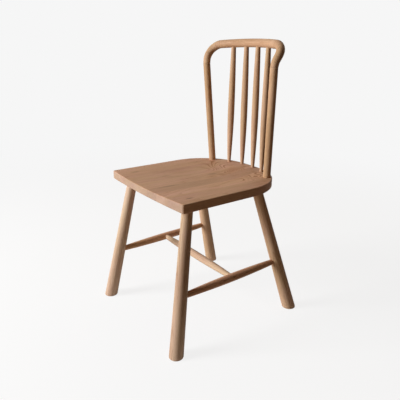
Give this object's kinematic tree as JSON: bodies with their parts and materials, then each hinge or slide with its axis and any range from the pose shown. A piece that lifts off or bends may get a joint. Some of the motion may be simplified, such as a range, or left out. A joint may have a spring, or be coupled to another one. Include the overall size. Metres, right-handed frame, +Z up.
{
  "type": "windsor side chair",
  "caption": "Oak side chair with a dished seat, splayed turned legs joined by an H stretcher, and a bow back filled with turned spindles.",
  "frame": {"origin": "middle of the feet's bounding box, on the floor", "axes": "+Z up, -Y the way the sitter faces, +X the sitter's left"},
  "size_m": [0.473, 0.4978, 0.8595],
  "materials": {
    "seat_oak": "matt oiled",
    "frame_oak": "matt oiled",
    "dowel_beech": "bare"
  },
  "bodies": {
    "root": {"seat_board_1": "seat_oak", "seat_board_2": "seat_oak", "seat_board_3": "seat_oak", "seat_board_4": "seat_oak", "seat_board_5": "seat_oak", "seat_board_6": "seat_oak", "leg_front_left": "frame_oak", "leg_front_right": "frame_oak", "leg_back_left": "frame_oak", "leg_back_right": "frame_oak", "side_stretcher_left": "frame_oak", "side_stretcher_right": "frame_oak", "cross_stretcher": "frame_oak", "upright_left": "frame_oak", "upright_right": "frame_oak", "bow_corner_left": "frame_oak", "bow_corner_right": "frame_oak", "top_rail": "frame_oak", "spindle_1": "frame_oak", "spindle_2": "frame_oak", "spindle_3": "frame_oak", "spindle_4": "frame_oak", "dowel_low_left": "dowel_beech", "dowel_low_right": "dowel_beech", "dowel_high_left": "dowel_beech", "dowel_high_right": "dowel_beech"}
  },
  "joints": []
}
